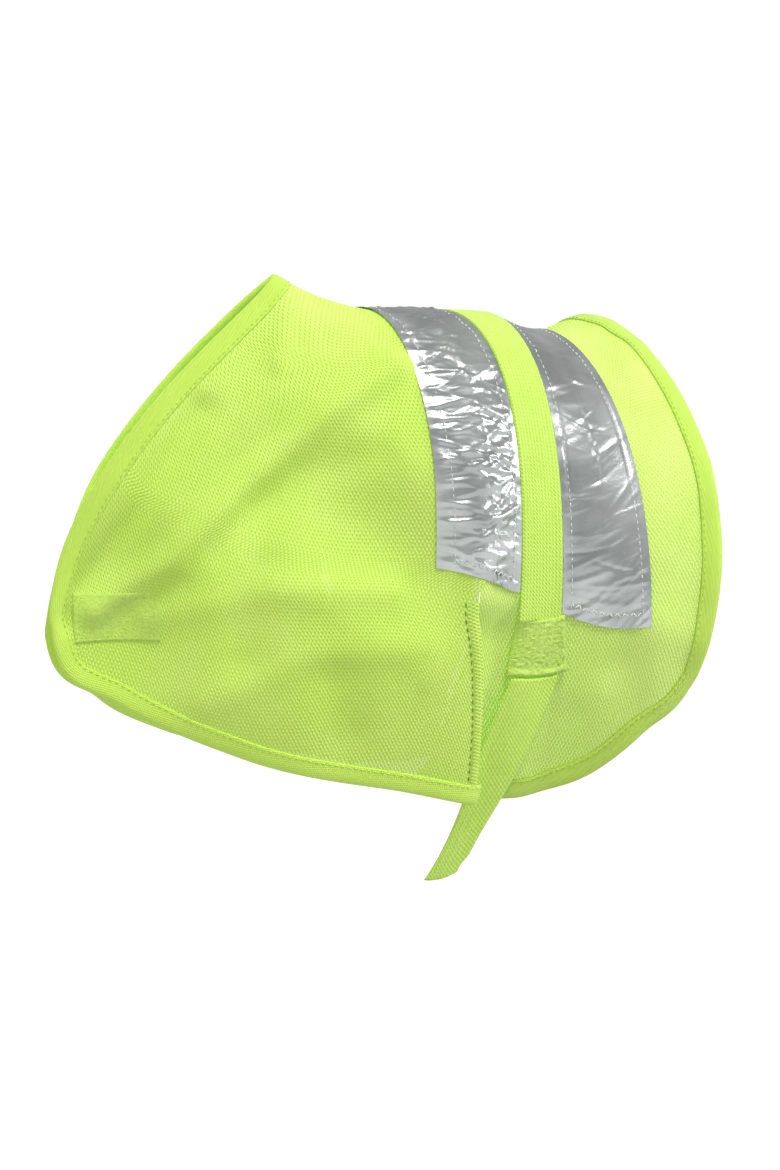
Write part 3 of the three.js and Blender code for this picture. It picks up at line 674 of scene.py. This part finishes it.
# The slit's thread is a shaded copy of the yellow thread: painted shade.
shaded_yellow_thread = thread("shaded_yellow_thread", shade(138, 168, 62), shade(106, 134, 44))
print("finishes:", len(bpy.data.materials))

# %% [markdown]
# ## The rear of the saddle
# One sheet of mesh covers the back from under the front tape to the rear hem and hangs down both sides. It
# is a single continuous piece, and its lower front corners tuck in under the front flaps at the slits.

# %% Rear mesh
LOBE_TUCK = 7.0
OVERLAP_FROM = FOLD_SLIT + 0.04
LOBE_FORWARD = 13.0


def overlap_share(f):
    return np.clip((f - OVERLAP_FROM) / (1 - OVERLAP_FROM), 0, None)


def lobe_tuck(s, f):
    return -LOBE_TUCK * smooth((5 - s) / 30) * smooth((f - FOLD_SLIT) / 0.08)


REAR_FOLDS = (
    (-1.6, 9, (86, 0.04), (68, 0.2)),
    (1.2, 8, (100, 0.12), (76, 0.3)),
    (1.4, 12, (103, 0.5), (70, 0.62)),
    (-1.6, 11, (98, 0.62), (72, 0.74)),
    (1.6, 12, (92, 0.86), (62, 0.74)),
    (-1.8, 12, (64, 0.98), (50, 0.82)),
    (1.8, 12, (30, 1.0), (34, 0.84)),
    (-1.5, 10, (12, 1.0), (18, 0.86)),
)


def both_sides(points, folds, g):
    return np.where(g < 0, fold_lift(points, folds, -1), fold_lift(points, folds, 1))


g_rows = np.linspace(-1, 1, 201)
columns = np.linspace(0, 1, 62)[:, None]
front_edge = SLIT_TOP - LOBE_FORWARD * overlap_share(np.abs(g_rows))
s = front_edge + (REAR_HEM - front_edge) * columns
g = np.broadcast_to(g_rows, s.shape)
points = cloth_points(s, g)
lift = lobe_tuck(s, np.abs(g)) + both_sides(points, REAR_FOLDS, g)
rear_points = points + cloth_normals(s, g) * lift[..., None]
rear_mesh = grid_piece("rear_mesh", rear_points, open_mesh)
rear_bed = Bed(rear_mesh)
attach(rear_mesh, "vest_body")
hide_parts("back_panel")

# %% [markdown]
# ## The front flaps
# Each front half runs from the spine to the chest. It is one piece of mesh, with no seam at the fold line.
# Long soft folds run from the chest tip up towards the front tape, where the cloth is pulled by its closure.

# %% Front meshes
FRONT_FOLDS = (
    (6.5, 8, (-114, 0.84), (-108, 0.67), (-103.5, 0.5), (-88.5, 0.29), (-69, 0.2)),
    (-4.5, 8, (-116.5, 0.9), (-115, 0.62), (-115, 0.36)),
    (2.4, 6, (-108, 0.04), (-104, 0.2)),
    (-3.6, 14, (-99, 0.5), (-97, 0.6)),
    (-3.2, 14, (-97, 0.7), (-95, 0.8)),
    (-3.0, 15, (-80, 0.8), (-77, 0.9)),
    (2.6, 9, (-107, 0.8), (-93, 0.66), (-72, 0.62)),
    (-2.0, 10, (-104, 0.62), (-92, 0.42), (-76, 0.36)),
    (1.6, 9, (-98, 0.92), (-84, 0.76), (-64, 0.72)),
    (-1.5, 8, (-90, 0.14), (-72, 0.12)),
    (1.2, 8, (-62, 0.78), (-52, 0.7)),
)
UNDER_TAPE = -37.0
FRONT_LIFT = 0.7


def slit_place(f):
    return SLIT_TOP - 0.6 + (SLIT_HEM - SLIT_TOP) * overlap_share(f)


def back_edge(f):
    """Where a front half ends: under the tape above, at the slit below."""
    share = smooth((f - 0.55) / (FOLD_SLIT - 0.55))
    return UNDER_TAPE * (1 - share) + slit_place(f) * share


def front_half(word, side, set_back):
    f = np.linspace(0, 1, 106)
    u = (np.linspace(0, 1, 92) ** 1.25)[:, None]
    neck = NECK_HEM + set_back * smooth(f / 0.2)
    s = neck + u * (back_edge(f) - neck)
    f = np.broadcast_to(f, s.shape)
    if side < 0:
        s, f = s[:, ::-1], f[:, ::-1]
    points = cloth_points(s, side * f)
    pull = smooth((s - NECK_HEM) / 4) * smooth((SLIT_HEM - 22 - s) / 20)
    lift = FRONT_LIFT + fold_lift(points, FRONT_FOLDS, side) * pull
    grid = points + cloth_normals(s, side * f) * lift[..., None]
    piece = grid_piece(f"{word}_front_mesh", grid, open_mesh)
    if side < 0:
        grid = grid[:, ::-1]
    return piece, grid


sides = (("left", -1), ("right", 1))
front = {}
for word, side in sides:
    piece, grid = front_half(word, side, set_back=0.0 if side < 0 else 1.3)
    front[word] = {"mesh": piece, "grid": grid, "bed": Bed(piece)}
    print(piece.name, len(piece.data.polygons), "faces")

# %% Points across the fold line
PIVOT = (FOLD_START + FOLD_END) / 2
MID_FOLD, FOLD_STEP = -86, 0.06
below = cloth_points([MID_FOLD], [-(fold_share(MID_FOLD) + FOLD_STEP)])[0]
above = cloth_points([MID_FOLD], [-(fold_share(MID_FOLD) - FOLD_STEP)])[0]
down = below - above
down -= FOLD_AXIS * (down @ FOLD_AXIS)
down /= np.linalg.norm(down)
BEND = 11.0


def bend_at_fold(piece, side):
    """Works out two points across the fold line and bakes the piece's transform into its mesh."""
    turn = np.array([1, -side, 1])
    start, end = ((PIVOT + down * reach) * turn * MM for reach in (-BEND, BEND))
    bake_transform(piece)


# %% [markdown]
# ## Bindings
# Every raw edge of the mesh is wrapped in a folded woven tape, ten millimetres wide. It is swept along the
# edge with one outline that goes over the top of the cloth, round the edge and back underneath, with a
# row of stitches near its inner border.

# %% Rear binding
def edge_binding(name, edge, bed):
    path = polyline(edge, EDGE_STEP)
    ways = inward_sides(path, bed)
    piece = swept(name, path, ways, bed, BINDING_OUTLINE, edge_weave)
    row = [point + way * (BINDING_WIDTH - 1.6) for point, way in zip(path, ways)]
    return piece, row


rear_edge = [*rear_points[:, 0], *rear_points[-1, 1:-1], *rear_points[::-1, -1]]
rear_binding, rear_row = edge_binding("rear_edge_binding", rear_edge, rear_bed)
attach(rear_binding, "vest_body")
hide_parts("rear_binding")
rear_stitches = stitches("rear_binding_stitches", [(rear_row, rear_bed, 1.0)], yellow_thread)
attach(rear_stitches, "vest_body")

# %% Front bindings
for word, side in sides:
    grid, bed = front[word]["grid"], front[word]["bed"]
    edge = [*grid[0, :-1], *grid[:, -1]]
    binding, row = edge_binding(f"{word}_front_binding", edge, bed)
    thread_row = stitches(f"{word}_binding_stitches", [(row, bed, 1.0)], yellow_thread)
    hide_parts(f"{word}_flap_binding")
    front[word]["soft"] = [front[word]["mesh"], binding, thread_row]
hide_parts("neck_binding")

# %% [markdown]
# ## Reflective tapes
# A tape is laid flat over the mesh and sewn down. Sewing and wear leave it full of creases that run across
# it, some straight and some slanting. Each crease is a narrow ridge in the grid of points, so it catches
# the light as a real one does. A raised weld runs down the middle of each tape.

# %% Helper: a creased tape
chance = np.random.default_rng(7)


def creased(points, along, across, count, height):
    """Millimetres of relief from creases scattered over a tape, in its own flat coordinates."""
    relief = np.zeros(along.shape)
    low, high = along.min(), along.max()
    for _ in range(count):
        middle = chance.uniform(low, high)
        side_place = chance.uniform(across.min(), across.max())
        slant = chance.normal(0, 0.35)
        half_length = chance.uniform(8, 30)
        wide = chance.uniform(0.8, 1.9)
        offset = along - middle - slant * (across - side_place)
        fade = np.exp(-(((across - side_place) / half_length) ** 2))
        ridge = chance.uniform(0.25, 1) * np.exp(-((offset / wide) ** 2)) * fade
        relief += ridge * chance.choice((1, 1, -0.8))
    return height * relief


SIDE_LENGTH = 275.0
WELD_HEIGHT, WELD_WIDTH = 0.5, 0.7
SEAM_DEPTH, SEAM_INSET = 0.35, 5
LOWEST, HIGHEST = -0.6, 1.6


def tape(name, s_from, s_to, ends, count, height, lift):
    """A tape over the back. ends are the shares of each side it covers at its front and back borders."""
    t = np.linspace(0, 1, 40)[:, None]
    v = np.linspace(-1, 1, 401)
    s = s_from + (s_to - s_from) * t
    g = v * (ends[0] + (ends[1] - ends[0]) * t)
    s = np.broadcast_to(s, g.shape)
    points = cloth_points(s, g)
    relief = creased(points, g * SIDE_LENGTH, s - s_from, count, height)
    border = np.minimum(t, 1 - t) * TAPE_WIDTH
    middle = np.abs(s - (s_from + s_to) / 2)
    relief = relief * smooth(border / 4) + WELD_HEIGHT * np.exp(-((middle / WELD_WIDTH) ** 2))
    relief -= SEAM_DEPTH * np.exp(-(((border - SEAM_INSET) / 0.8) ** 2))
    raised = lift + np.clip(relief, LOWEST, HIGHEST)
    grid = points + cloth_normals(s, g) * raised[..., None]
    piece = grid_piece(name, grid, silver_film)
    return piece, grid


# %% Front and rear tapes
FRONT_TAPE_ENDS = (0.575, 0.605)
REAR_TAPE_ENDS = (0.65, 0.765)
TAPE_LIFT = 1.7
front_tape, front_tape_grid = tape("front_tape", -TAPE_EDGE, -BAND_EDGE - 0.4, FRONT_TAPE_ENDS, 520, 0.8,
                                   TAPE_LIFT)
rear_tape, rear_tape_grid = tape("rear_tape", BAND_EDGE + 0.4, TAPE_EDGE, REAR_TAPE_ENDS, 150, 0.6,
                                 TAPE_LIFT - 0.4)
for piece, node in ((front_tape, "front_reflective_tape"), (rear_tape, "rear_reflective_tape")):
    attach(piece, "vest_body")
    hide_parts(node)

# %% Tape stitching
SEAM_ROW = 4


def tape_threads(name, tape_piece, grid, node):
    bed = Bed(tape_piece)
    last = grid.shape[0] - 1
    rows = [grid[SEAM_ROW, 4:-4], grid[last - SEAM_ROW, 4:-4]]
    ends = [grid[SEAM_ROW:last - SEAM_ROW, 7], grid[SEAM_ROW:last - SEAM_ROW, -8]]
    straight = stitches(f"{name}_stitches", [(row, bed, 0.15) for row in rows], pale_thread)
    zigzag = stitches(f"{name}_end_zigzag", [(row, bed, 0.2) for row in ends], pale_thread,
                      length=1.9, gap=0.1, wide=0.8, zigzag=1.3)
    for piece in (straight, zigzag):
        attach(piece, "vest_body")
    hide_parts(node)


tape_threads("front_tape", front_tape, front_tape_grid, "front_tape_seam")
tape_threads("rear_tape", rear_tape, rear_tape_grid, "rear_tape_seam")

# %% [markdown]
# ## Band, pads and strap
# The band between the tapes is flat webbing, a little over a millimetre thick. It ends on each side in a
# pad of napped loop tape with a raised welt along its lower edge. From under the left pad a strap of the
# same webbing slants forward under the belly; in use it closes on the right pad.

# %% Back band
WEBBING_WIDTH, WEBBING_THICK = 25.0, 1.2
PAD_END = 0.765
BAND_END = 0.66


def webbing(name, s, g, lift, ridges=0.25):
    """Webbing over a grid of places, its long ribs raised a little."""
    across = np.linspace(0, 1, s.shape[0])[:, None]
    lift = lift + ridges * np.abs(np.sin(across * math.pi * 4)) - 0.5 * (np.abs(2 * across - 1) > 0.97)
    grid = cloth_points(s, g) + cloth_normals(s, g) * np.broadcast_to(lift, s.shape)[..., None]
    return grid_piece(name, grid, webbing_weave, WEBBING_THICK)


v = np.linspace(-1, 1, 221)
s = np.linspace(-BAND_EDGE + 0.1, BAND_EDGE - 0.1, 33)[:, None]
s, g = np.broadcast_arrays(s, v * BAND_END)
band = webbing("back_webbing", s, g, 2.1)
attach(band, "vest_body")
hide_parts("back_band")

# %% Pads
PAD_FROM, PAD_TO = -14.0, 17.0
PAD_LENGTH, PAD_HEIGHT = PAD_TO - PAD_FROM, 29
PAD_OVERLAP = 0.006
PAD_LIFT, PAD_CROWN, TUFT_HEIGHT = 2.0, 1.3, 0.25
WELT_HEIGHT, WELT_INSET, WELT_WIDTH = 1.3, 2.2, 1.3
for word, side in sides:
    t = np.linspace(0, 1, 44)[:, None]
    w = np.linspace(0, 1, 46)
    f = (BAND_END - PAD_OVERLAP) + (PAD_END - BAND_END + PAD_OVERLAP) * w
    s = PAD_FROM + PAD_LENGTH * t + 2.5 * (1 - 2 * t) * (1 - w)
    g = np.broadcast_to(side * f, s.shape)
    rim = np.minimum(np.minimum(t, 1 - t) * PAD_LENGTH, np.minimum(w, 1 - w) * PAD_HEIGHT)
    welt = WELT_HEIGHT * np.exp(-(((1 - w) * PAD_HEIGHT - WELT_INSET) / WELT_WIDTH) ** 2)
    ruffled = TUFT_HEIGHT * chance.normal(0, 1, s.shape) * smooth(rim / 1.2)
    lift = PAD_LIFT + PAD_CROWN * smooth(rim / 1.6) + welt + ruffled
    lift += lobe_tuck(s, np.abs(g))
    if side < 0:
        s, g, lift = s[:, ::-1], g[:, ::-1], lift[:, ::-1]
    grid = cloth_points(s, g) + cloth_normals(s, g) * lift[..., None]
    pad = grid_piece(f"{word}_loop_pad", grid, looped_nap, 1.6)
    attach(pad, "vest_body")
    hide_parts(f"{word}_band_pad")

# %% Belly strap
STRAP_TOP, STRAP_TIP = 0.765, 1.17
STRAP_LEAVES_PAD = 0.775          # the share of the side where the strap starts to slant
STRAP_FORWARD = 21                # millimetres forward from there to the hem
STRAP_SLANT_CUT = 0.03            # how much shorter the strap is along one border at its tip
SLANT_FROM, SLANT_OVER = 1.1, 0.07
STRAP_UNDER, STRAP_RISE = -2.7, 6.4  # its lift under the front flap, and how far it rises behind it
RISE_OVER = 28                    # millimetres along the back in which it rises, up to the band's middle
x = np.linspace(-BAND_EDGE, BAND_EDGE, 33)[:, None]
f = STRAP_TIP + (STRAP_TOP - STRAP_TIP) * np.linspace(0, 1, 90)
down_share = (f - STRAP_LEAVES_PAD) / (1 - STRAP_LEAVES_PAD)
s = -1 - STRAP_FORWARD * down_share + x
g = STRAP_SLANT_CUT * (x / WEBBING_WIDTH + 0.5) * smooth((f - SLANT_FROM) / SLANT_OVER) - f
lift = STRAP_UNDER + STRAP_RISE * smooth((s + RISE_OVER) / RISE_OVER)
strap = webbing("belly_strap_webbing", s, g, lift, ridges=0.35)
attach(strap, "left_strap")
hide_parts("left_belly_strap")

# %% [markdown]
# ## The slit hem and the chest patches
# The front flap's edge along the slit is turned over and sewn, so it shows as a denser strip with a row of
# stitches, painted in a darker copy of the yellow thread for the shade along the slit. At the chest the hook
# patch and the loop patch face each other on the inner sides of the two flaps, and their square of stitching
# shows through on the outside.

# %% Slit hems
HEM_WIDTH = 5.5
# The first column of a front grid that lies on the slit, below the end of the tape.
SLIT_COLUMN = 66
for word, side in sides:
    grid, bed = front[word]["grid"], front[word]["bed"]
    low = [Vector(p) for p in grid[-1, SLIT_COLUMN:]]
    path = polyline(low, EDGE_STEP)
    ways = inward_sides(path, bed)
    outline = ((-0.3, 0.0), (0.6, 0.9), (HEM_WIDTH / 2, 0.75), (HEM_WIDTH - 0.5, 0.8), (HEM_WIDTH, 0.3))
    outline = outline if side < 0 else tuple(reversed(outline))
    hem = swept(f"{word}_slit_hem", path, ways, bed, outline, doubled_mesh, closed_outline=False)
    row = [point + way * (HEM_WIDTH + 1.0) for point, way in zip(path, ways)]
    # These stitches take the shaded copy of the yellow thread: painted shade along the slit.
    row = stitches(f"{word}_slit_stitches", [(row, bed, 0.25)], shaded_yellow_thread, length=3.0, gap=1.4, wide=0.7)
    front[word]["soft"] += [hem, row]

# %% Chest patches
PATCH_CORNER = (-234.0, -150.0)
PATCH_LENGTH, PATCH_HEIGHT, PATCH_THICK = 40.0, 25.0, 1.3
PATCH_SEAM = 2.5
for word, side in sides:
    bed = front[word]["bed"]
    outward = Vector((0, side, 0))

    def on_flap(x, z, lift, bed=bed, outward=outward):
        start = Vector((x, 0, z)) + outward * 60
        hit, normal, _, _ = bed.tree.ray_cast(start, -outward)
        if hit is None:
            hit, normal = bed.settle(start - outward * 50)
        if normal.dot(outward) < 0:
            normal = -normal
        return hit + normal * lift

    xs = np.linspace(PATCH_CORNER[0], PATCH_CORNER[0] + PATCH_LENGTH, 34)
    zs = np.linspace(PATCH_CORNER[1], PATCH_CORNER[1] + PATCH_HEIGHT, 22)
    grid = np.array([[list(on_flap(x, z, -0.4 - 0.1 * chance.random())) for z in zs] for x in xs])
    grid = grid if side > 0 else grid[:, ::-1]
    patch = grid_piece(f"{word}_chest_patch", grid, looped_nap, PATCH_THICK * 0.8)
    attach(patch, f"{word}_flap")
    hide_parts("left_chest_hook_patch" if side < 0 else "right_chest_loop_patch")
    x0, x1 = PATCH_CORNER[0] + PATCH_SEAM, PATCH_CORNER[0] + PATCH_LENGTH - PATCH_SEAM
    z0, z1 = PATCH_CORNER[1] + PATCH_SEAM, PATCH_CORNER[1] + PATCH_HEIGHT - PATCH_SEAM
    ring = [(x0, z0), (x1, z0), (x1, z1), (x0, z1), (x0, z0)]
    runs = []
    for (xa, za), (xb, zb) in zip(ring[:-1], ring[1:]):
        line = [on_flap(xa + (xb - xa) * q, za + (zb - za) * q, 0.0) for q in np.linspace(0, 1, 14)]
        runs.append((line, bed, 0.35))
    square = stitches(f"{word}_patch_stitches", runs, yellow_thread, wide=0.8)
    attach(square, f"{word}_flap")
    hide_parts(f"{word}_chest_stitching")

# %% [markdown]
# ## Baking and printing
# The pieces of each front half have their transforms baked into their meshes. Every sheet also prints the
# width and length of the cloth that it was cut from, and its area now, that of its finished grid with the
# folds in it. The meshes aren't rectangles; the tapes are.

# %% Bake the front pieces
for word, side in sides:
    for piece in front[word]["soft"]:
        bend_at_fold(piece, side)
    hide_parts(f"{word}_chest_flap")

def area_of(piece):
    return sum(polygon.area for polygon in piece.data.polygons)


def declare(piece, flat):
    print(piece.name, "cut", flat, "area now", round(area_of(piece), 4))


declare(rear_mesh, (0.16, 0.56))
for word, _ in sides:
    mesh = front[word]["mesh"]
    declare(mesh, (0.21, 0.29))
declare(front_tape, (0.05, 0.325))
declare(rear_tape, (0.05, 0.39))
